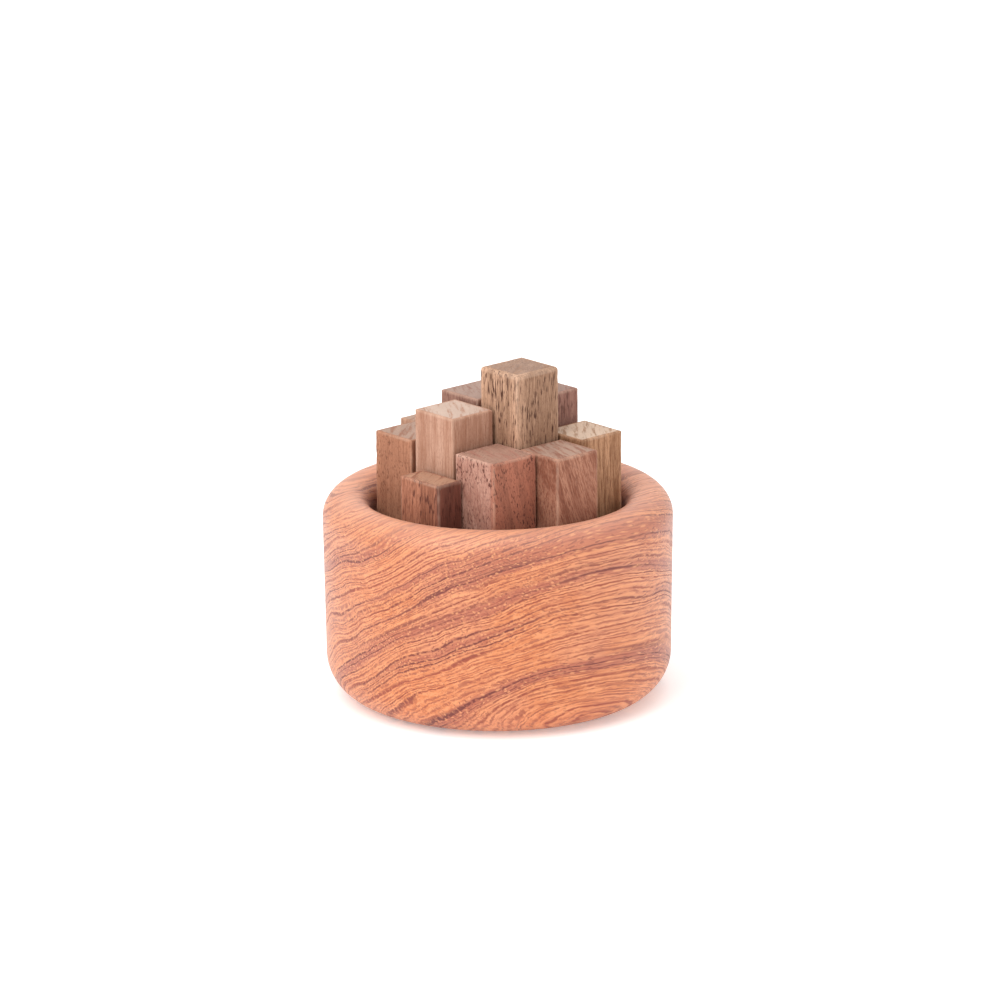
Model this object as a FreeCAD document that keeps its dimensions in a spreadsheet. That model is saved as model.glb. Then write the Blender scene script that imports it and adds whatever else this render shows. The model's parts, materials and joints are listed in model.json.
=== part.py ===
import FreeCAD, Part
import math
import os
import Sketcher

# A stick burr in a turned bowl, in millimetres.
#
# The bowl stands on z = 0 with its axis on Z. Twelve upright sticks stand in it, in half-staggered
# rows that run along X: a slat, three sticks, four sticks, three sticks, a slat. Four ties run
# along X between the rows, in notches of the sticks. One stick of the middle row, the key, has no
# notch: it passes through channels in the ties and stops them from being drawn out.

doc = FreeCAD.newDocument("stick_burr")

# ---- Driving dimensions -------------------------------------------------------------------
SIZES = [
    # The turned bowl
    ("bowl_radius", 38.35, "widest radius, just under the lip"),
    ("bowl_height", 45.95, "base to the crest of the lip"),
    ("base_radius", 28.3, "flat underside"),
    ("base_rounding", 9.6, "between underside and wall"),
    ("cavity_radius", 27.9, "straight bore that holds the sticks"),
    ("inner_lip_radius", 4.7, "lip, bore side"),
    ("floor_thickness", 6.0, "wood under the bore"),
    # The square sticks
    ("stick_width", 12.0, "both ways across, as a stick should be"),
    ("column_pitch", 13.1, "stick to stick along a row"),
    ("row_pitch", 12.65, "row to row"),
    ("eased_edge", 0.35, "chamfer on every stick edge"),
    ("standing_gap", 0.2, "between floor and stick"),
    # The notches and the ties in them
    ("foot_height", 3.0, "wood under a stick's lower notch"),
    ("land_height", 3.0, "wood between a stick's two notches"),
    ("stick_play", 6.0, "how far a notched stick slides up"),
    ("tie_thickness", 6.0, "across the rows"),
    ("tie_height", 6.0, "upright"),
    ("tie_clearance", 0.2, "each side of a tie in its notch"),
    # The slats in front of and behind the rows
    ("slat_width", 12.6, "along the rows"),
    ("slat_thickness", 6.8, "half a stick and a little more"),
    ("slat_gap", 0.4, "between slat and row"),
    ("slat_shift", 3.5, "slat centre, off the bowl's axis along X"),
    ("slat_top", 53.4, "both slats, above the table"),
]

# Which way a row lies from the bowl's axis, in row pitches along Y
FRONT, MIDDLE, REAR = -1, 0, 1
KEY = "key_stick"

# name, column along X in pitches, row, top above the table, slack taken up along X,
# extra width along X and extra depth along Y of a stick sawn off size, notched faces
STICKS = [
    ("front_row_left_stick", -1.0, FRONT, 58.9, 0.0, 0.0, 0.0, ["back"]),
    ("front_row_centre_stick", 0.0, FRONT, 66.3, 0.1, 0.4, -0.2, ["back"]),
    ("front_row_right_stick", 1.0, FRONT, 59.0, 0.4, 0.4, 0.4, ["back"]),
    ("middle_row_left_end_stick", -1.5, MIDDLE, 58.1, 0.3, 0.0, 0.0, ["front", "back"]),
    ("middle_row_left_stick", -0.5, MIDDLE, 67.2, 0.9, 0.0, 0.0, ["front", "back"]),
    (KEY, 0.5, MIDDLE, 75.0, 0.8, -0.1, 0.3, []),
    ("middle_row_right_end_stick", 1.5, MIDDLE, 58.8, 0.2, 0.0, 0.0, ["front", "back"]),
    ("rear_row_left_stick", -1.0, REAR, 58.8, 0.1, 0.0, 0.0, ["front"]),
    ("rear_row_centre_stick", 0.0, REAR, 66.4, 0.0, 0.0, 0.0, ["front"]),
    ("rear_row_right_stick", 1.0, REAR, 59.5, 0.8, 0.0, 0.0, ["front"]),
]
for name, column, row, top, slack, extra_width, extra_depth, notched_faces in STICKS:
    SIZES.append((name + "_column", column, "place in its row, in column pitches"))
    SIZES.append((name + "_top", top, "above the table"))
    SIZES.append((name + "_slack", slack, "towards +X, off the exact pitch"))
    SIZES.append((name + "_extra_width", extra_width, "along X, over stick_width"))
    SIZES.append((name + "_extra_depth", extra_depth, "along Y, over stick_width"))

sheet = doc.addObject("Spreadsheet::Sheet", "Sizes")
for line, (alias, value, meaning) in enumerate(SIZES, start=1):
    sheet.set("A%d" % line, str(value))
    sheet.setAlias("A%d" % line, alias)
    sheet.set("B%d" % line, meaning)
doc.recompute()

# ---- Lengths worked out from them, as expressions -----------------------------------------
STANDING_Z = "(Sizes.floor_thickness + Sizes.standing_gap)"
NOTCH_HEIGHT = "(Sizes.stick_play + Sizes.tie_height + 2 * Sizes.tie_clearance)"
TIER_PITCH = "(%s + Sizes.land_height)" % NOTCH_HEIGHT
LOWER_TIE_Z = "(%s + Sizes.foot_height + Sizes.stick_play + Sizes.tie_clearance)" % STANDING_Z
TIE_LENGTH = "(3 * Sizes.column_pitch + Sizes.stick_width)"
OUTER_LIP_RADIUS = "(Sizes.bowl_radius - Sizes.cavity_radius - Sizes.inner_lip_radius)"


def width_of(stick):
    """Across a stick, along X."""
    return "(Sizes.stick_width + Sizes.%s_extra_width)" % stick


def depth_of(stick):
    """Across a stick, along Y."""
    return "(Sizes.stick_width + Sizes.%s_extra_depth)" % stick


def left_of(stick):
    """Where a stick's left face stands along X."""
    centre = "Sizes.%s_column * Sizes.column_pitch + Sizes.%s_slack" % (stick, stick)
    return "(%s - %s / 2)" % (centre, width_of(stick))


def notch_depth_of(stick):
    """From a stick's face into the wood, past the tie that lies half way between the rows."""
    half_gap = "(Sizes.row_pitch - %s) / 2" % depth_of(stick)
    return "(Sizes.tie_thickness / 2 + Sizes.tie_clearance - %s)" % half_gap


sub_parts = []


# ---- Helpers ------------------------------------------------------------------------------
def new_body(label):
    """A body that becomes one node of the assembly."""
    body = doc.addObject("PartDesign::Body", label)
    body.Label = label
    sub_parts.append(body)
    return body


def new_sketch(body, name, role):
    """A sketch on one of the body's own origin planes."""
    sketch = body.newObject("Sketcher::SketchObject", body.Name + "_" + name)
    plane = [p for p in body.Origin.OriginFeatures if p.Role == role][0]
    sketch.AttachmentSupport = [(plane, "")]
    sketch.MapMode = "FlatFace"
    return sketch


def bind(sketch, kind, points, name, expression):
    """A dimension of the sketch that follows the sheet."""
    index = sketch.addConstraint(Sketcher.Constraint(kind, *points, 1.0))
    sketch.renameConstraint(index, name)
    sketch.setExpression("Constraints." + name, expression)


def rectangle(body, name, role, left, low, width, height):
    """A closed rectangle, placed and sized by expressions."""
    sketch = new_sketch(body, name, role)
    corners = [(5, 5), (9, 5), (9, 9), (5, 9)]  # where the solver starts from
    points = [FreeCAD.Vector(a, b, 0) for a, b in corners]
    for side in range(4):
        sketch.addGeometry(Part.LineSegment(points[side], points[(side + 1) % 4]), False)
    for side in range(4):
        follower = (side + 1) % 4
        sketch.addConstraint(Sketcher.Constraint("Coincident", side, 2, follower, 1))
    for side, direction in enumerate(["Horizontal", "Vertical", "Horizontal", "Vertical"]):
        sketch.addConstraint(Sketcher.Constraint(direction, side))
    bind(sketch, "DistanceX", (-1, 1, 0, 1), "left", left)
    bind(sketch, "DistanceY", (-1, 1, 0, 1), "low", low)
    bind(sketch, "DistanceX", (0, 1, 0, 2), "width", width)
    bind(sketch, "DistanceY", (1, 1, 1, 2), "height", height)
    return sketch


def pad(body, sketch, height):
    """Wood of the sketch's outline, up from its plane."""
    feature = body.newObject("PartDesign::Pad", body.Name + "_blank")
    feature.Profile = sketch
    feature.setExpression("Length", height)
    doc.recompute()
    return feature


def ease(body, feature):
    """The small chamfer on every edge of a sawn blank."""
    chamfer = body.newObject("PartDesign::Chamfer", body.Name + "_eased")
    chamfer.Base = (feature, [])
    chamfer.UseAllEdges = True
    chamfer.setExpression("Size", "Sizes.eased_edge")
    doc.recompute()


def pocket(body, sketch, name, length):
    """Wood removed from the sketch's plane towards the body's positive side."""
    before = body.Shape.Volume
    feature = body.newObject("PartDesign::Pocket", body.Name + "_" + name)
    feature.Profile = sketch
    feature.Reversed = True
    feature.setExpression("Length", length)
    doc.recompute()
    if body.Shape.Volume > before - 1.0:
        raise RuntimeError("%s: pocket %s cuts nothing" % (body.Label, name))


def place(body, across, along, up):
    """Binds the body's corner to a place in the assembly."""
    body.setExpression("Placement.Base.x", across)
    body.setExpression("Placement.Base.y", along)
    body.setExpression("Placement.Base.z", up)


# ---- The sub-parts ------------------------------------------------------------------------
def make_bowl():
    """A thick turned bowl: one revolved outline with a fully rounded lip."""
    body = new_body("bowl")
    sketch = new_sketch(body, "outline", "XZ_Plane")
    base_r, round_r = sheet.base_radius, sheet.base_rounding
    bore_r, in_r, top = sheet.cavity_radius, sheet.inner_lip_radius, sheet.bowl_height
    crest = bore_r + in_r
    out_r = sheet.bowl_radius - crest
    floor = sheet.floor_thickness

    def at(a, b):
        return FreeCAD.Vector(a, b, 0)

    def arc(centre, radius, start, end):
        circle = Part.Circle(centre, FreeCAD.Vector(0, 0, 1), radius)
        return Part.ArcOfCircle(circle, start, end)

    quarter = math.pi / 2
    outline = [
        Part.LineSegment(at(0, 0), at(base_r, 0)),
        arc(at(base_r, round_r), round_r, -quarter, 0),
        Part.LineSegment(at(base_r + round_r, round_r), at(crest + out_r, top - out_r)),
        arc(at(crest, top - out_r), out_r, 0, quarter),
        arc(at(crest, top - in_r), in_r, quarter, 2 * quarter),
        Part.LineSegment(at(bore_r, top - in_r), at(bore_r, floor)),
        Part.LineSegment(at(bore_r, floor), at(0, floor)),
        Part.LineSegment(at(0, floor), at(0, 0)),
    ]
    for edge in outline:
        sketch.addGeometry(edge, False)
    base, foot, wall, outer_lip, inner_lip, bore, ground, axis = range(8)

    def rule(*terms):
        sketch.addConstraint(Sketcher.Constraint(*terms))

    rule("Coincident", base, 1, -1, 1)
    rule("Tangent", base, 2, foot, 1)
    rule("Tangent", foot, 2, wall, 1)
    rule("Tangent", wall, 2, outer_lip, 1)
    rule("Coincident", outer_lip, 2, inner_lip, 1)
    rule("Tangent", inner_lip, 2, bore, 1)
    rule("Coincident", bore, 2, ground, 1)
    rule("Coincident", ground, 2, axis, 1)
    rule("Coincident", axis, 2, base, 1)
    rule("Horizontal", base)
    rule("Horizontal", ground)
    rule("Vertical", bore)
    rule("Vertical", axis)
    rule("Vertical", outer_lip, 3, outer_lip, 2)
    rule("Vertical", inner_lip, 3, inner_lip, 1)
    bind(sketch, "DistanceX", (-1, 1, base, 2), "base_radius", "Sizes.base_radius")
    bind(sketch, "Radius", (foot,), "base_rounding", "Sizes.base_rounding")
    bind(sketch, "Radius", (outer_lip,), "outer_lip", OUTER_LIP_RADIUS)
    bind(sketch, "Radius", (inner_lip,), "inner_lip", "Sizes.inner_lip_radius")
    bind(sketch, "DistanceX", (-1, 1, bore, 2), "cavity_radius", "Sizes.cavity_radius")
    bind(sketch, "DistanceY", (-1, 1, outer_lip, 2), "bowl_height", "Sizes.bowl_height")
    bind(sketch, "DistanceY", (-1, 1, ground, 2), "floor", "Sizes.floor_thickness")
    doc.recompute()

    turned = body.newObject("PartDesign::Revolution", "bowl_turned")
    turned.Profile = sketch
    turned.ReferenceAxis = (sketch, ["V_Axis"])
    turned.Angle = 360
    doc.recompute()


def make_stick(label, row, notched_faces):
    """One square stick; each notched face has a notch for the lower and for the upper tie."""
    body = new_body(label)
    width, depth, notch = width_of(label), depth_of(label), notch_depth_of(label)
    section = rectangle(body, "section", "XY_Plane", "0", "0", width, depth)
    ease(body, pad(body, section, "Sizes.%s_top - %s" % (label, STANDING_Z)))
    for face in notched_faces:
        inner_side = "0" if face == "front" else "%s - %s" % (depth, notch)
        for tier in range(2):
            name = "%s_notch_%d" % (face, tier + 1)
            low = "Sizes.foot_height + %d * %s" % (tier, TIER_PITCH)
            cut = rectangle(body, name, "YZ_Plane", inner_side, low, notch, NOTCH_HEIGHT)
            pocket(body, cut, name + "_cut", width)
    place(body, left_of(label), "%d * Sizes.row_pitch - %s / 2" % (row, depth), STANDING_Z)


def make_slat(label, row):
    """A plain slat that fills the bore beside the outer row."""
    body = new_body(label)
    section = rectangle(
        body, "section", "XY_Plane", "0", "0", "Sizes.slat_width", "Sizes.slat_thickness"
    )
    ease(body, pad(body, section, "Sizes.slat_top - " + STANDING_Z))
    across = "%d * Sizes.slat_shift - Sizes.slat_width / 2" % -row
    row_face = "Sizes.row_pitch + Sizes.stick_width / 2 + Sizes.slat_gap"
    if row == REAR:
        along = row_face
    else:
        along = "-(%s + Sizes.slat_thickness)" % row_face
    place(body, across, along, STANDING_Z)


def make_tie(label, side, tier):
    """A tie between two rows, with an upright channel where the key passes."""
    body = new_body(label)
    section = rectangle(body, "section", "XY_Plane", "0", "0", TIE_LENGTH, "Sizes.tie_thickness")
    ease(body, pad(body, section, "Sizes.tie_height"))
    channel_left = "%s / 2 + %s - Sizes.tie_clearance" % (TIE_LENGTH, left_of(KEY))
    channel_width = "%s + 2 * Sizes.tie_clearance" % width_of(KEY)
    cut_depth = notch_depth_of(KEY)
    channel_low = "Sizes.tie_thickness - " + cut_depth if side == FRONT else "0"
    channel = rectangle(
        body, "channel", "XY_Plane", channel_left, channel_low, channel_width, cut_depth
    )
    pocket(body, channel, "channel_cut", "Sizes.tie_height")
    along = "%d * Sizes.row_pitch / 2 - Sizes.tie_thickness / 2" % side
    up = "%s + %d * %s" % (LOWER_TIE_Z, tier, TIER_PITCH)
    place(body, "-%s / 2" % TIE_LENGTH, along, up)


make_bowl()
for name, column, row, top, slack, extra_width, extra_depth, notched_faces in STICKS:
    make_stick(name, row, notched_faces)
make_slat("front_slat", FRONT)
make_slat("rear_slat", REAR)
for tier, height in enumerate(["lower", "upper"]):
    make_tie(height + "_front_tie", FRONT, tier)
    make_tie(height + "_rear_tie", REAR, tier)
doc.recompute()

# ---- Checks, then one STEP file per sub-part ----------------------------------------------
for item in doc.Objects:
    if "Invalid" in item.State or "Error" in item.State:
        raise RuntimeError("%s: %s" % (item.Label, item.State))
    if item.TypeId == "Sketcher::SketchObject" and not item.FullyConstrained:
        raise RuntimeError("%s is not fully constrained" % item.Label)
for body in sub_parts:
    if body.Shape.isNull() or not body.Shape.isValid() or len(body.Shape.Solids) != 1:
        raise RuntimeError("%s has no single valid solid" % body.Label)

os.makedirs("parts", exist_ok=True)
for body in sub_parts:
    body.Shape.exportStep("parts/%s.step" % body.Label)
    box = body.Shape.BoundBox
    print("%-28s volume %8.0f  z %6.2f to %6.2f" % (body.Label, body.Shape.Volume, box.ZMin, box.ZMax))
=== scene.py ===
import json
import math

import bpy
from mathutils import Matrix, Vector, noise

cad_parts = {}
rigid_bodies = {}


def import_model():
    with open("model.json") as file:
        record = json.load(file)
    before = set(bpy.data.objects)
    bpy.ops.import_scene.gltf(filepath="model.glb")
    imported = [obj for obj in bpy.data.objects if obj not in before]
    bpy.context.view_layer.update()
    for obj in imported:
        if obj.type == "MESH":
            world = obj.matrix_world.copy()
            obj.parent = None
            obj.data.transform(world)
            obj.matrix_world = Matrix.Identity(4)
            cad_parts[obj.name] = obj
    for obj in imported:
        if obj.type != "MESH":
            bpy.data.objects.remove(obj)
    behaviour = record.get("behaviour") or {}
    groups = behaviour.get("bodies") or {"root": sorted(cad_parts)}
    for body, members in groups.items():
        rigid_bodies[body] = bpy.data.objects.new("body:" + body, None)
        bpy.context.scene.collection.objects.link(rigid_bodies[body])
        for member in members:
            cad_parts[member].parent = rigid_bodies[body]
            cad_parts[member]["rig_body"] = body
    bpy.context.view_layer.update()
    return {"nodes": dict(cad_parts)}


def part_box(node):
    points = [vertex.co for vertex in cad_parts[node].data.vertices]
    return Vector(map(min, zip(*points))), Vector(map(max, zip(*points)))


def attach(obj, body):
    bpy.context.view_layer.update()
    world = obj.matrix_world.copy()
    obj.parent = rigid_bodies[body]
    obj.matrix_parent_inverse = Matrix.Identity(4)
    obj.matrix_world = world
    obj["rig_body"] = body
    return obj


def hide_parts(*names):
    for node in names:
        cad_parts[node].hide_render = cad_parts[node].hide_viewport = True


# The looks of a stick burr in a turned bowl. Lengths are in metres unless a name says mm.
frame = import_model()

MM = 0.001

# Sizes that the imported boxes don't give, as in the CAD source
BASE_RADIUS = 28.3 * MM
BASE_ROUNDING = 9.6 * MM
BORE_RADIUS = 27.9 * MM
INNER_LIP_RADIUS = 4.7 * MM
FLOOR_THICKNESS = 6.0 * MM
TIE_CLEARANCE = 0.2 * MM
STICK_PLAY = 6.0 * MM

KEY = "key_stick"
TIES = ["lower_front_tie", "upper_front_tie", "lower_rear_tie", "upper_rear_tie"]

# Where the camera stands
AIM_HEIGHT = 43.3 * MM
AIM_SIDE = 0.5 * MM        # how far right of the bowl's axis the camera looks
VIEW_AZIMUTH = math.radians(48.0)
VIEW_ELEVATION = math.radians(16.25)
VIEW_ROLL = math.radians(-0.45)
VIEW_DISTANCE = 1.342
LENS_MM = 221.0


def srgb(red, green, blue):
    """Screen values from 0 to 255 as the linear colour that shaders use."""
    def linear(value):
        share = value / 255
        return share / 12.92 if share <= 0.04045 else ((share + 0.055) / 1.055) ** 2.4
    return linear(red), linear(green), linear(blue), 1.0


# ---- Shader trees -------------------------------------------------------------------------
class Shader:
    """A material and short calls that add nodes to it."""

    def __init__(self, name):
        self.material = bpy.data.materials.new(name)
        self.material.use_nodes = True
        self.tree = self.material.node_tree
        self.tree.nodes.clear()

    def connect(self, socket, value):
        if isinstance(value, bpy.types.NodeSocket):
            self.tree.links.new(value, socket)
        else:
            socket.default_value = value

    def add(self, kind, inputs=(), **settings):
        node = self.tree.nodes.new(kind)
        for key, value in settings.items():
            setattr(node, key, value)
        for key, value in dict(inputs).items():
            self.connect(node.inputs[key], value)
        return node

    def math(self, operation, first, second=0.0):
        inputs = {0: first, 1: second}
        return self.add("ShaderNodeMath", inputs, operation=operation).outputs[0]

    def vector(self, operation, first, second):
        inputs = {0: first, 1: second}
        return self.add("ShaderNodeVectorMath", inputs, operation=operation).outputs[0]

    def noise(self, vector, scale, detail=2.0, roughness=0.5, output="Fac"):
        inputs = {"Vector": vector, "Scale": scale, "Detail": detail, "Roughness": roughness}
        return self.add("ShaderNodeTexNoise", inputs).outputs[output]

    def cells(self, vector, scale):
        """Distance to the nearest of scattered points, 0 at a point."""
        inputs = {"Vector": vector, "Scale": scale, "Randomness": 0.9}
        return self.add("ShaderNodeTexVoronoi", inputs).outputs["Distance"]

    def step(self, value, low, high, start=0.0, end=1.0):
        """A smooth step of value from low to high, as a number from start to end."""
        inputs = {"Value": value, "From Min": low, "From Max": high, "To Min": start, "To Max": end}
        return self.add("ShaderNodeMapRange", inputs, interpolation_type="SMOOTHSTEP").outputs[0]

    def lines(self, place, spacing, width, strength):
        """Strength on thin lines across a coordinate, fading to 0 at width from each line."""
        away = self.math("PINGPONG", place, spacing / 2)
        return self.step(away, 0.3 * width, width, strength, 0.0)

    def mix(self, share, first, second):
        node = self.add("ShaderNodeMix", data_type="RGBA")
        for name, value in (("Factor", share), ("A", first), ("B", second)):
            self.connect([s for s in node.inputs if s.name == name and s.enabled][0], value)
        return [s for s in node.outputs if s.enabled][0]

    def attribute(self, name):
        return self.add("ShaderNodeAttribute", attribute_name=name).outputs["Fac"]

    def finish(self, colour, roughness, height, relief, **sockets):
        bump = self.add("ShaderNodeBump", {"Height": height, "Distance": relief, "Strength": 1.0})
        surface = {"Base Color": colour, "Roughness": roughness, "Normal": bump.outputs[0]}
        surface.update({name.replace("_", " "): value for name, value in sockets.items()})
        principled = self.add("ShaderNodeBsdfPrincipled", surface)
        output = self.add("ShaderNodeOutputMaterial")
        self.tree.links.new(principled.outputs[0], output.inputs["Surface"])
        return self.material


def grain_space(shader, fibre, across, offset, drifts):
    """Millimetres in the block of wood: X along the fibres, Z across the growth layers."""
    across = Vector(across).normalized()
    fibre = Vector(fibre)
    fibre = (fibre - across * fibre.dot(across)).normalized()
    turn = Matrix((fibre, across.cross(fibre), across)).to_euler()
    place = shader.add("ShaderNodeTexCoord").outputs["Object"]
    inputs = {"Vector": place, "Location": offset, "Rotation": turn, "Scale": (1 / MM,) * 3}
    space = shader.add("ShaderNodeMapping", inputs).outputs[0]
    for scale, reach in drifts:
        drawn_out = shader.vector("MULTIPLY", space, (0.3, 1.0, 1.0))
        drift = shader.noise(drawn_out, scale, 1.0, 0.5, "Color")
        drift = shader.vector("SUBTRACT", drift, (0.5, 0.5, 0.5))
        space = shader.vector("ADD", space, shader.vector("MULTIPLY", drift, (0.0, reach, reach)))
    return space


def bowl_wood():
    """Oiled rosewood: salmon, with dark red wavy layers, dark pores and pale flecks."""
    shader = Shader("bowl_rosewood")
    # The fibres run along Y, and the growth layers rise towards +X
    drifts = [(0.03, 11.0), (0.11, 2.4), (0.6, 0.5), (1.8, 0.25)]
    space = grain_space(shader, (0, 1, 0), (-0.52, 0.04, 0.85), (11, 3, 7), drifts)
    layers = shader.vector("MULTIPLY", space, (0.012, 0.05, 1.0))
    pores = shader.vector("MULTIPLY", space, (0.13, 1.0, 1.0))

    cloud = shader.noise(space, 0.05, 2.0, 0.5)
    band = shader.noise(layers, 0.2, 2.0, 0.5)
    grit = shader.noise(pores, 1.2, 2.0, 0.6)
    # Growth is uneven, so the layers lie closer in some years than in others
    depth = shader.add("ShaderNodeSeparateXYZ", {"Vector": space}).outputs["Z"]
    growth = shader.math("ADD", depth, shader.math("MULTIPLY", shader.noise(layers, 0.3), 5.0))

    colour = shader.mix(shader.step(cloud, 0.35, 0.65), srgb(206, 122, 72), srgb(208, 132, 92))
    fine = shader.noise(shader.vector("MULTIPLY", space, (0.04, 0.2, 1.0)), 2.4, 3.0, 0.6)
    colour = shader.mix(shader.step(fine, 0.38, 0.56, 0.6, 0.0), colour, srgb(230, 154, 104))
    colour = shader.mix(shader.step(fine, 0.54, 0.66, 0.0, 0.55), colour, srgb(158, 76, 50))
    in_band = shader.step(band, 0.5, 0.62, 0.0, 0.62)
    colour = shader.mix(in_band, colour, srgb(158, 78, 62))

    # Dark lines between the layers, broken up by the pores
    hair = shader.lines(growth, 0.77, 0.2, 0.7)
    hair = shader.math("MULTIPLY", hair, shader.step(grit, 0.38, 0.54, 0.1, 1.0))
    colour = shader.mix(hair, colour, srgb(148, 70, 48))
    strong = shader.step(shader.noise(layers, 0.45), 0.4, 0.56, 0.35, 1.0)
    rough_line = shader.math("MULTIPLY", shader.lines(growth, 1.54, 0.32, 0.95), strong)
    rough_line = shader.math("MULTIPLY", rough_line, shader.step(grit, 0.36, 0.5, 0.35, 1.0))
    ink = shader.mix(shader.step(band, 0.42, 0.58), srgb(150, 68, 44), srgb(104, 40, 34))
    colour = shader.mix(rough_line, colour, ink)

    # Pale flecks round the pores, thickest in the dark bands
    fleck = shader.step(shader.cells(pores, 1.3), 0.16, 0.4, 1.0, 0.0)
    fleck_share = shader.math("MULTIPLY", fleck, shader.step(band, 0.46, 0.6, 0.08, 0.6))
    colour = shader.mix(fleck_share, colour, srgb(230, 158, 106))

    # Short dark pores
    pore = shader.step(shader.noise(pores, 2.6, 1.0, 0.5), 0.58, 0.68)
    pore_share = shader.math("MULTIPLY", pore, shader.step(band, 0.4, 0.6, 0.3, 0.75))
    colour = shader.mix(pore_share, colour, srgb(126, 56, 42))

    # Painted highlight: the lip is painted paler towards the top, where it faces the sky. Painted
    # shade: the bore is painted darker inside.
    lip = shader.math("MULTIPLY", shader.attribute("lip"), 0.4)
    colour = shader.mix(lip, colour, srgb(228, 172, 146))
    bore = shader.math("MULTIPLY", shader.attribute("bore"), 0.75)
    colour = shader.mix(bore, colour, srgb(116, 56, 34))

    height = shader.math("SUBTRACT", 1.0, shader.math("MAXIMUM", pore_share, rough_line))
    roughness = shader.step(rough_line, 0.0, 1.0, 0.45, 0.6)
    return shader.finish(colour, roughness, height, 0.04 * MM, Coat_Weight=0.1, Coat_Roughness=0.35,
                         Sheen_Weight=0.08, Sheen_Roughness=0.5)


def stick_wood(node, light, dark, fleck, sawn, seed, heartwood_and_shade=None, angle=0.6, lean=0.0,
               streaks=0.6, flecks=0.6, fleck_length=0.14, fleck_size=2.4):
    """Bare planed wood with upright grain, a sawn end and arrises rubbed a little pale.

    The colour given for the +X face, where a stick has one, is heartwood on some sticks and painted
    shade on others. angle and lean turn the growth layers about Z and off upright. flecks is how
    strongly the pores show."""
    shader = Shader(node + "_wood")
    across = (math.cos(angle), math.sin(angle), lean)
    offset = (seed * 37.0, seed * 11.0, seed * 5.0)
    space = grain_space(shader, (0, 0, 1), across, offset, [(0.06, 3.0), (0.3, 0.6)])
    layers = shader.vector("MULTIPLY", space, (0.03, 0.25, 1.0))
    pores = shader.vector("MULTIPLY", space, (fleck_length, 1.0, 1.0))

    colour, darker = light, dark
    # The +X face gets its own colour: heartwood on some sticks, painted shade on the front slat
    if heartwood_and_shade:
        _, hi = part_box(node)
        place = shader.add("ShaderNodeTexCoord").outputs["Object"]
        along = shader.add("ShaderNodeSeparateXYZ", {"Vector": place}).outputs["X"]
        heartwood_and_shade_mask = shader.step(along, hi.x - 1.6 * MM, hi.x - 0.2 * MM)
        colour = shader.mix(heartwood_and_shade_mask, light, heartwood_and_shade)
        darker = shader.mix(heartwood_and_shade_mask, dark, tuple(0.62 * c for c in heartwood_and_shade[:3]) + (1.0,))
    pale = colour
    band = shader.noise(layers, 0.4, 3.0, 0.6)
    hair = shader.noise(shader.vector("MULTIPLY", space, (0.06, 1.0, 1.0)), 2.6, 3.0, 0.7)
    colour = shader.mix(shader.step(band, 0.38, 0.64, 0.0, streaks), colour, darker)
    colour = shader.mix(shader.step(hair, 0.46, 0.62, 0.0, 0.8 * streaks), colour, darker)
    colour = shader.mix(shader.step(hair, 0.34, 0.48, 0.5, 0.0), colour, pale)
    dust = shader.noise(shader.vector("MULTIPLY", space, (0.4, 1.0, 1.0)), 3.6, 2.0, 0.7)
    colour = shader.mix(shader.step(dust, 0.5, 0.66, 0.0, 0.3), colour, fleck)

    patch = shader.step(shader.noise(space, 0.16, 2.0, 0.5), 0.32, 0.58, 0.35, 1.0)
    pore = shader.step(shader.noise(pores, fleck_size, 1.0, 0.5), 0.56, 0.66)
    pore_share = shader.math("MULTIPLY", pore, shader.math("MULTIPLY", patch, flecks))
    colour = shader.mix(pore_share, colour, fleck)

    # The saw leaves the end grain paler, with the layers still showing through
    end = shader.math("MULTIPLY", shader.attribute("end"), 0.68)
    ring = shader.noise(shader.vector("MULTIPLY", space, (0.1, 0.12, 1.0)), 0.9, 3.0, 0.7)
    sawn = shader.mix(shader.step(ring, 0.46, 0.64, 0.0, 0.75), sawn, darker)
    colour = shader.mix(end, colour, sawn)
    # Arrises rubbed pale for a stretch here and there
    rubbed = shader.step(shader.noise(space, 0.25, 2.0, 0.6), 0.4, 0.6, 0.3, 1.0)
    edge = shader.math("POWER", shader.attribute("arris"), 3.0)
    worn = shader.math("MULTIPLY", shader.math("MULTIPLY", edge, rubbed), 0.22)
    colour = shader.mix(worn, colour, srgb(214, 184, 162))

    saw = shader.noise(shader.vector("MULTIPLY", space, (0.25, 1.0, 1.0)), 3.5, 3.0, 0.7)
    height = shader.math("SUBTRACT", shader.math("MULTIPLY", saw, 0.5), pore_share)
    return shader.finish(colour, 0.8, height, 0.05 * MM, Specular_IOR_Level=0.3)


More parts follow.
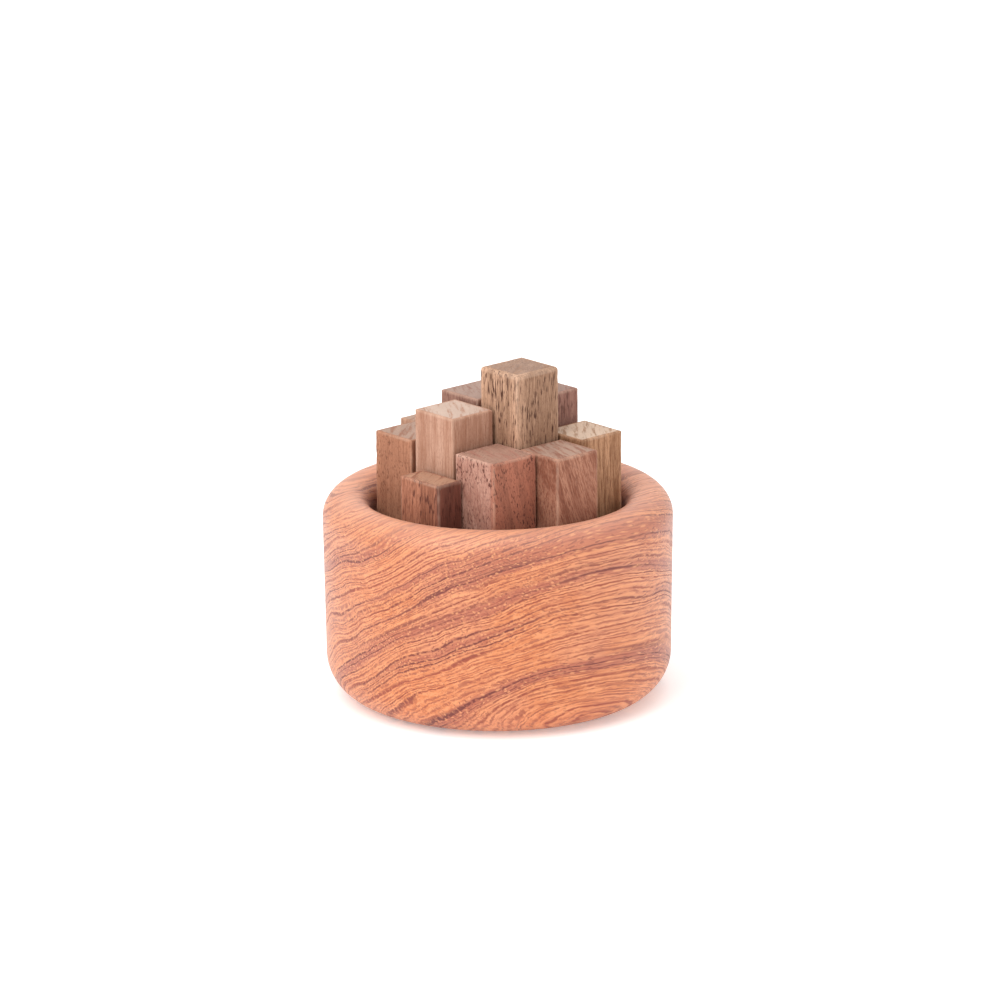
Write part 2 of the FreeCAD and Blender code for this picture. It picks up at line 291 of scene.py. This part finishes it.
STICK_WOODS = {
    "key_stick": dict(
        light=srgb(202, 160, 132), dark=srgb(146, 110, 86), fleck=srgb(80, 48, 36),
        sawn=srgb(148, 122, 108),
        seed=1, angle=0.5, streaks=0.85, flecks=1.0, fleck_length=0.16, fleck_size=2.3),
    "front_row_centre_stick": dict(
        light=srgb(196, 154, 132), dark=srgb(160, 112, 88), fleck=srgb(136, 90, 68),
        sawn=srgb(202, 184, 170), seed=2, angle=0.9, streaks=0.75, flecks=0.2),
    "front_row_right_stick": dict(
        light=srgb(198, 152, 134), dark=srgb(150, 98, 82), fleck=srgb(92, 52, 42),
        sawn=srgb(156, 122, 104),
        seed=3, angle=1.2, lean=0.2, heartwood_and_shade=srgb(178, 113, 90), flecks=0.9, fleck_length=0.45,
        fleck_size=2.2),
    "middle_row_right_end_stick": dict(
        light=srgb(178, 126, 102), dark=srgb(126, 72, 52), fleck=srgb(94, 50, 38),
        sawn=srgb(172, 148, 132), seed=4, angle=1.3, lean=0.35, streaks=0.85, flecks=0.4),
    "rear_row_right_stick": dict(
        light=srgb(188, 142, 108), dark=srgb(130, 88, 58), fleck=srgb(104, 62, 40),
        sawn=srgb(218, 196, 176), seed=5, angle=0.9, streaks=0.95, flecks=0.4),
    "rear_row_centre_stick": dict(
        light=srgb(164, 122, 108), dark=srgb(128, 84, 72), fleck=srgb(86, 50, 42),
        sawn=srgb(148, 128, 118), seed=6, angle=0.8),
    "middle_row_left_stick": dict(
        light=srgb(168, 128, 112), dark=srgb(130, 88, 74), fleck=srgb(98, 60, 48),
        sawn=srgb(168, 146, 134), seed=7, angle=1.0),
    "middle_row_left_end_stick": dict(
        light=srgb(184, 144, 120), dark=srgb(148, 104, 80), fleck=srgb(112, 70, 50),
        sawn=srgb(174, 150, 136), seed=8, angle=0.4),
    "front_row_left_stick": dict(
        light=srgb(176, 122, 94), dark=srgb(138, 88, 64), fleck=srgb(98, 56, 38),
        sawn=srgb(174, 152, 138), seed=9, angle=0.7, flecks=0.6, fleck_length=0.45),
    "rear_row_left_stick": dict(
        light=srgb(176, 132, 108), dark=srgb(134, 88, 68), fleck=srgb(100, 60, 44),
        sawn=srgb(170, 142, 126), seed=10, angle=1.3),
    "front_slat": dict(
        light=srgb(174, 116, 90), dark=srgb(122, 72, 52), fleck=srgb(82, 40, 30),
        sawn=srgb(184, 144, 118),
        # The +X face colour here is painted shadow, cast by the neighbouring stick into the gap
        seed=11, angle=0.6, heartwood_and_shade=srgb(120, 70, 56), streaks=0.8, flecks=0.9, fleck_length=0.16),
    "rear_slat": dict(
        light=srgb(168, 118, 92), dark=srgb(126, 80, 60), fleck=srgb(90, 52, 38),
        sawn=srgb(160, 124, 104), seed=12, angle=0.9),
}
TIE_WOOD = dict(
    light=srgb(180, 132, 106), dark=srgb(138, 92, 70), fleck=srgb(102, 62, 44),
    sawn=srgb(170, 140, 120), seed=13)


# ---- Sticks, slats and ties ---------------------------------------------------------------
GRAIN_STEP = 0.55 * MM     # spacing of a stick's mesh
ARRIS_RADIUS = 0.35 * MM
ARRIS_STEPS = 3
FACE_WAVE = 0.05 * MM      # planing marks, measured inwards
ARRIS_NICKS = 0.07 * MM    # the deepest dents in an arris
ARRIS_FADE = 0.2 * MM
NICK_GAIN = 2.2            # brings the noise of the dents up to full depth
NICK_THRESHOLD = 0.05      # noise under it leaves the arris whole
ALONG_GRAIN = 0.12         # how much slower a planed face changes along the fibres
SHARPEST_CORNER = 0.15     # of the arris radius, where a ring is drawn in
SMOOTH_ANGLE = math.radians(50)


def rounded_rectangle(half_u, half_v, radius, count_u, count_v):
    """Points round a rectangle about the origin: place, outward direction and arris share."""
    loop = []
    sides = [
        (1, 0, half_u, half_v, count_v), (0, 1, half_v, half_u, count_u),
        (-1, 0, half_u, half_v, count_v), (0, -1, half_v, half_u, count_u),
    ]
    for out_u, out_v, reach, half, count in sides:
        along = (-out_v, out_u)
        for k in range(count):
            t = (2 * k / count - 1) * (half - radius)
            place = (out_u * reach + along[0] * t, out_v * reach + along[1] * t)
            loop.append((place, (out_u, out_v), math.exp(-(half - radius - abs(t)) / ARRIS_FADE)))
        for k in range(ARRIS_STEPS):
            turn = math.pi / 2 * k / ARRIS_STEPS
            out = (
                out_u * math.cos(turn) + along[0] * math.sin(turn),
                out_v * math.cos(turn) + along[1] * math.sin(turn),
            )
            core = (out_u * (reach - radius) + along[0] * (half - radius),
                    out_v * (reach - radius) + along[1] * (half - radius))
            loop.append(((core[0] + out[0] * radius, core[1] + out[1] * radius), out, 1.0))
    return loop


def end_steps(rounding):
    """Depth and inset of the rings that turn a bar's end into its sides."""
    steps = []
    for k in range(ARRIS_STEPS + 1):
        turn = math.pi / 2 * k / ARRIS_STEPS
        steps.append((rounding * (1 - math.cos(turn)), rounding * (1 - math.sin(turn))))
    return steps


def bar_rings(width, depth, length, arris, top_round):
    """Rings from the middle of the lower end, up the sides, to the middle of the upper end.

    Each ring is a list of (place, outward direction, arris share, end share)."""
    counts = round(width / GRAIN_STEP), round(depth / GRAIN_STEP)
    cap_count = max(3, round(min(width, depth) / 2 / GRAIN_STEP))

    def ring(height, inset, rim=0.0):
        radius = max(arris - inset, SHARPEST_CORNER * arris)
        loop = rounded_rectangle(width / 2 - inset, depth / 2 - inset, radius, *counts)
        return [((u, v, height), (a, b, 0), max(share, rim), 0.0) for (u, v), (a, b), share in loop]

    def cap(edge_ring, height, way):
        rings = []
        for k in range(1, cap_count):
            scale = 1 - k / cap_count
            share = math.exp(-(1 - scale) * min(width, depth) / 2 / ARRIS_FADE)
            rings.append([((u * scale, v * scale, height), (0, 0, way), share, 1.0)
                          for (u, v, _), _, _, _ in edge_ring])
        return rings

    lower = [ring(depth_in, inset, 1.0) for depth_in, inset in end_steps(arris)]
    upper = [ring(length - depth_in, inset, 1.0) for depth_in, inset in end_steps(top_round)]
    sides = []
    count = round((length - arris - top_round) / GRAIN_STEP)
    for k in range(1, count):
        height = arris + (length - arris - top_round) * k / count
        gap = min(height - arris, length - top_round - height)
        sides.append(ring(height, 0.0, math.exp(-gap / ARRIS_FADE)))
    start = cap(lower[0], 0.0, -1)[::-1]
    finish = cap(upper[0], length, 1)
    return start + lower + sides + upper[::-1] + finish


def roughen(place, arris, end, seed):
    """How far the wood lies inside its nominal face at a place, from planing and knocks.

    The seed moves each bar to its own stretch of the noise."""
    u, v, w = (value / MM for value in place)
    along = w if end else w * ALONG_GRAIN
    point = Vector((u + 31.7 * seed, v, along))
    wave = 0.5 + 0.5 * noise.noise(point * 0.5)
    fuzz = 0.5 + 0.5 * noise.noise(point * 1.7)
    knock = max(0.0, noise.noise(Vector((u, v + 17.3 * seed, w)) * 0.55) - NICK_THRESHOLD)
    return FACE_WAVE * (0.7 * wave + 0.6 * fuzz) + ARRIS_NICKS * NICK_GAIN * knock * arris ** 2


def bar_mesh(name, box, long_axis, seed, arris=ARRIS_RADIUS, top_round=ARRIS_RADIUS):
    """A sawn bar that fills a CAD box, with planed faces, dented arrises and sawn ends."""
    lo, hi = box
    size = hi - lo
    centre = (lo + hi) / 2
    if long_axis == "z":
        width, depth, length = size.x, size.y, size.z
    else:
        width, depth, length = size.y, size.z, size.x
    rings = bar_rings(width, depth, length, arris, top_round)
    around = len(rings[0])
    verts, shares = [], []
    for ring in rings:
        for place, out, arris_share, end_share in ring:
            sunk = roughen(place, arris_share, end_share, seed)
            verts.append([place[k] - out[k] * sunk for k in range(3)])
            shares.append((arris_share, end_share))
    first, last = len(verts), len(verts) + 1
    verts += [[0, 0, FACE_WAVE], [0, 0, length - FACE_WAVE]]
    shares += [(0.0, 1.0), (0.0, 1.0)]
    faces = []
    for row in range(len(rings) - 1):
        for k in range(around):
            a, b = row * around + k, row * around + (k + 1) % around
            faces.append((a, b, b + around, a + around))
    top_row = (len(rings) - 1) * around
    for k in range(around):
        following = (k + 1) % around
        faces.append((first, following, k))
        faces.append((last, top_row + k, top_row + following))
    if long_axis == "z":
        verts = [(centre.x + u, centre.y + v, lo.z + w) for u, v, w in verts]
    else:
        verts = [(lo.x + w, centre.y + u, centre.z + v) for u, v, w in verts]
    mesh = bpy.data.meshes.new(name)
    mesh.from_pydata(verts, [], faces)
    add_shares(mesh, "arris", [share[0] for share in shares])
    add_shares(mesh, "end", [share[1] for share in shares])
    mesh.update()
    return mesh


def add_shares(mesh, name, values):
    """A number at each vertex, from 0 to 1, for a material to read."""
    layer = mesh.attributes.new(name, "FLOAT", "POINT")
    layer.data.foreach_set("value", values)


def show(name, mesh, material, node):
    """Puts a mesh in the scene in place of a CAD node, on that node's body."""
    piece = bpy.data.objects.new(name, mesh)
    bpy.context.scene.collection.objects.link(piece)
    mesh.materials.append(material)
    mesh.polygons.foreach_set("use_smooth", [True] * len(mesh.polygons))
    mesh.set_sharp_from_angle(angle=SMOOTH_ANGLE)
    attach(piece, frame["nodes"][node]["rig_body"])
    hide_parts(node)


def cut_boxes(mesh, boxes):
    """The mesh with square notches sawn out of it."""
    corners = [(x, y, z) for x in (0, 1) for y in (0, 1) for z in (0, 1)]
    sides = [(0, 1, 3, 2), (4, 6, 7, 5), (0, 4, 5, 1), (2, 3, 7, 6), (0, 2, 6, 4), (1, 5, 7, 3)]
    verts, faces = [], []
    for lo, hi in boxes:
        start = len(verts)
        verts += [[(lo, hi)[corner[k]][k] for k in range(3)] for corner in corners]
        faces += [tuple(start + k for k in side) for side in sides]
    cutter_mesh = bpy.data.meshes.new("cutter")
    cutter_mesh.from_pydata(verts, [], faces)
    cutter = bpy.data.objects.new("cutter", cutter_mesh)
    blank = bpy.data.objects.new("blank", mesh)
    for item in (cutter, blank):
        bpy.context.scene.collection.objects.link(item)
    saw = blank.modifiers.new("saw", "BOOLEAN")
    saw.operation = "DIFFERENCE"
    saw.solver = "EXACT"
    saw.object = cutter
    shaped = blank.evaluated_get(bpy.context.evaluated_depsgraph_get())
    result = bpy.data.meshes.new_from_object(shaped)
    result.name = mesh.name
    for item in (cutter, blank):
        bpy.data.objects.remove(item)
    return result


def notch_boxes(node):
    """The room that the ties, and the stick's own play, take out of a notched stick."""
    lo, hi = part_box(node)
    boxes = []
    for tie in TIES:
        tie_lo, tie_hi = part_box(tie)
        if tie_lo.y < hi.y and tie_hi.y > lo.y:
            margin = Vector((1 * MM, TIE_CLEARANCE, TIE_CLEARANCE))
            low = Vector((lo.x, tie_lo.y, tie_lo.z - STICK_PLAY)) - margin
            boxes.append((low, Vector((hi.x, tie_hi.y, tie_hi.z)) + margin))
    return boxes


def make_sticks():
    for node, wood in STICK_WOODS.items():
        arris, top_round = (0.45 * MM, 0.85 * MM) if node == KEY else (ARRIS_RADIUS, ARRIS_RADIUS)
        mesh = bar_mesh(node + "_wood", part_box(node), "z", wood["seed"], arris, top_round)
        notches = [] if node == KEY else notch_boxes(node)
        if notches:
            mesh = cut_boxes(mesh, notches)
        show(node + "_shape", mesh, stick_wood(node, **wood), node)


def make_ties():
    wood = stick_wood("tie", **TIE_WOOD)
    key_lo, key_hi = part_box(KEY)
    margin = Vector((TIE_CLEARANCE, TIE_CLEARANCE, 1 * MM))
    for number, node in enumerate(TIES):
        mesh = bar_mesh(node + "_wood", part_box(node), "x", 20 + number)
        mesh = cut_boxes(mesh, [(key_lo - margin, key_hi + margin)])
        show(node + "_shape", mesh, wood, node)


# ---- The bowl -----------------------------------------------------------------------------
BOWL_STEP = 0.7 * MM
BOWL_AROUND = 340
TURNING_WAVE = 0.04 * MM
WAVE_LENGTH = 3.8 * MM
# How far below the top the painted highlight on the lip fades
LIP_HIGHLIGHT_FADE = 3 * MM
# How far down the bore the painted shade deepens
BORE_SHADE_FADE = 6 * MM


def arc(centre, radius, start, end):
    """Points along an arc in the outline, angles in degrees, without the last one."""
    count = max(4, round(abs(math.radians(end - start)) * radius / (BOWL_STEP * 0.8)))
    turns = [math.radians(start + (end - start) * k / count) for k in range(count)]
    return [(centre[0] + radius * math.cos(t), centre[1] + radius * math.sin(t)) for t in turns]


def line(start, end):
    """Points along a straight stretch of the outline, without the last one."""
    count = max(1, round(math.dist(start, end) / BOWL_STEP))
    return [tuple(a + (b - a) * k / count for a, b in zip(start, end)) for k in range(count)]


def bowl_outline(radius, height):
    """From the middle of the underside, round the lip, to the middle of the bore's floor."""
    crest = BORE_RADIUS + INNER_LIP_RADIUS
    outer_lip = radius - crest
    lean = math.degrees(math.atan2(
        radius - BASE_RADIUS - BASE_ROUNDING, height - outer_lip - BASE_ROUNDING))
    foot = (BASE_RADIUS, BASE_ROUNDING)
    lip = (crest, height - outer_lip)
    turn = math.radians(-lean)
    wall_foot = (foot[0] + BASE_ROUNDING * math.cos(turn), foot[1] + BASE_ROUNDING * math.sin(turn))
    wall_top = (lip[0] + outer_lip * math.cos(turn), lip[1] + outer_lip * math.sin(turn))
    bore_top = (BORE_RADIUS, height - INNER_LIP_RADIUS)
    bore_foot = (BORE_RADIUS, FLOOR_THICKNESS)
    return (
        line((BOWL_STEP, 0), (BASE_RADIUS, 0))
        + arc(foot, BASE_ROUNDING, -90, -lean)
        + line(wall_foot, wall_top)
        + arc(lip, outer_lip, -lean, 90)
        + arc((crest, height - INNER_LIP_RADIUS), INNER_LIP_RADIUS, 90, 180)
        + line(bore_top, bore_foot)
        + line(bore_foot, (BOWL_STEP, FLOOR_THICKNESS))
    )


def bore_shade_share(x, y, z, height):
    """How far into the bore a point of the bowl lies, from 0 on the lip and outside to 1; it sets
    the painted shade in the bore.
    """
    outside = math.hypot(x, y) > BORE_RADIUS + INNER_LIP_RADIUS / 2
    if outside or z < FLOOR_THICKNESS / 2:
        return 0.0
    return min(1.0, max(0.0, 0.4 + (height - INNER_LIP_RADIUS / 2 - z) / BORE_SHADE_FADE))


def make_bowl():
    _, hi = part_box("bowl")
    outline = bowl_outline(hi.x, hi.z)
    verts = [Vector((0, 0, 0)), Vector((0, 0, FLOOR_THICKNESS))]
    for radius, height in outline:
        for k in range(BOWL_AROUND):
            turn = 2 * math.pi * k / BOWL_AROUND
            out = Vector((math.cos(turn), math.sin(turn), 0))
            place = out * radius + Vector((0, 0, height))
            wave = 0.5 + 0.5 * noise.noise(place / WAVE_LENGTH)
            verts.append(place - out * TURNING_WAVE * wave * min(1, radius / BORE_RADIUS))
    faces = []
    for row in range(len(outline) - 1):
        for k in range(BOWL_AROUND):
            a, b = (2 + row * BOWL_AROUND + i for i in (k, (k + 1) % BOWL_AROUND))
            faces.append((a, b, b + BOWL_AROUND, a + BOWL_AROUND))
    inner_row = 2 + (len(outline) - 1) * BOWL_AROUND
    for k in range(BOWL_AROUND):
        following = (k + 1) % BOWL_AROUND
        faces.append((0, 2 + following, 2 + k))
        faces.append((1, inner_row + k, inner_row + following))
    mesh = bpy.data.meshes.new("bowl_wood")
    mesh.from_pydata(verts, [], faces)
    # The lip share sets a painted highlight, paler towards the top of the bowl
    add_shares(mesh, "lip", [math.exp((height - hi.z) / LIP_HIGHLIGHT_FADE) for _, _, height in verts])
    # The bore share sets painted shade inside the bore
    add_shares(mesh, "bore", [bore_shade_share(*vert, hi.z) for vert in verts])
    mesh.update()
    show("bowl_shape", mesh, bowl_wood(), "bowl")


# ---- Stage, light and camera --------------------------------------------------------------
FLOOR_SIZE = 8.0
WORLD_STRENGTH = 0.9
SENSOR_MM = 36
FARTHEST = 50.0            # how far the camera sees


def direction(azimuth, elevation):
    """From the bowl towards a light or the camera; azimuth 0 looks from -Y."""
    return Vector((
        math.sin(azimuth) * math.cos(elevation),
        -math.cos(azimuth) * math.cos(elevation),
        math.sin(elevation),
    ))


def make_stage():
    shader = Shader("paper")
    grain = shader.noise(shader.add("ShaderNodeTexCoord").outputs["Object"], 900.0)
    colour = shader.mix(grain, srgb(250, 250, 250), srgb(252, 252, 252))
    glow = {"Emission_Color": (1, 1, 1, 1), "Emission_Strength": 0.25}
    material = shader.finish(colour, 0.9, grain, 0.01 * MM, **glow)
    bpy.ops.mesh.primitive_plane_add(size=FLOOR_SIZE, location=(0, 0, 0))
    floor = bpy.context.object
    floor.name = "floor"
    floor.data.materials.append(material)


def make_area_light(name, azimuth, elevation, distance, size, power):
    """A round soft light that faces the bundle."""
    data = bpy.data.lights.new(name, "AREA")
    data.shape = "DISK"
    data.size = size
    data.energy = power
    light = bpy.data.objects.new(name, data)
    way = direction(azimuth, elevation)
    light.location = way * distance + Vector((0, 0, AIM_HEIGHT))
    light.rotation_euler = way.to_track_quat("Z", "Y").to_euler()
    bpy.context.scene.collection.objects.link(light)


def make_lights():
    world = bpy.data.worlds.new("studio")
    world.use_nodes = True
    background = world.node_tree.nodes["Background"].inputs
    background["Color"].default_value = (1, 1, 1, 1)
    background["Strength"].default_value = WORLD_STRENGTH
    bpy.context.scene.world = world
    left = VIEW_AZIMUTH - math.radians(50)
    make_area_light("key_light", left, math.radians(48), distance=1.6, size=1.4, power=12)
    make_area_light("top_light", VIEW_AZIMUTH, math.radians(80), distance=1.4, size=1.2, power=5)


def make_camera():
    data = bpy.data.cameras.new("camera")
    data.lens = LENS_MM
    data.sensor_width = SENSOR_MM
    data.clip_end = FARTHEST
    camera = bpy.data.objects.new("camera", data)
    way = direction(VIEW_AZIMUTH, VIEW_ELEVATION)
    turn = way.to_track_quat("Z", "Y").to_matrix() @ Matrix.Rotation(VIEW_ROLL, 3, "Z")
    right = Vector((math.cos(VIEW_AZIMUTH), math.sin(VIEW_AZIMUTH), 0))
    place = way * VIEW_DISTANCE + right * AIM_SIDE + Vector((0, 0, AIM_HEIGHT))
    camera.matrix_world = Matrix.Translation(place) @ turn.to_4x4()
    bpy.context.scene.collection.objects.link(camera)
    bpy.context.scene.camera = camera


make_bowl()
make_sticks()
make_ties()
make_stage()
make_lights()
make_camera()
bpy.context.scene.view_settings.view_transform = "Standard"
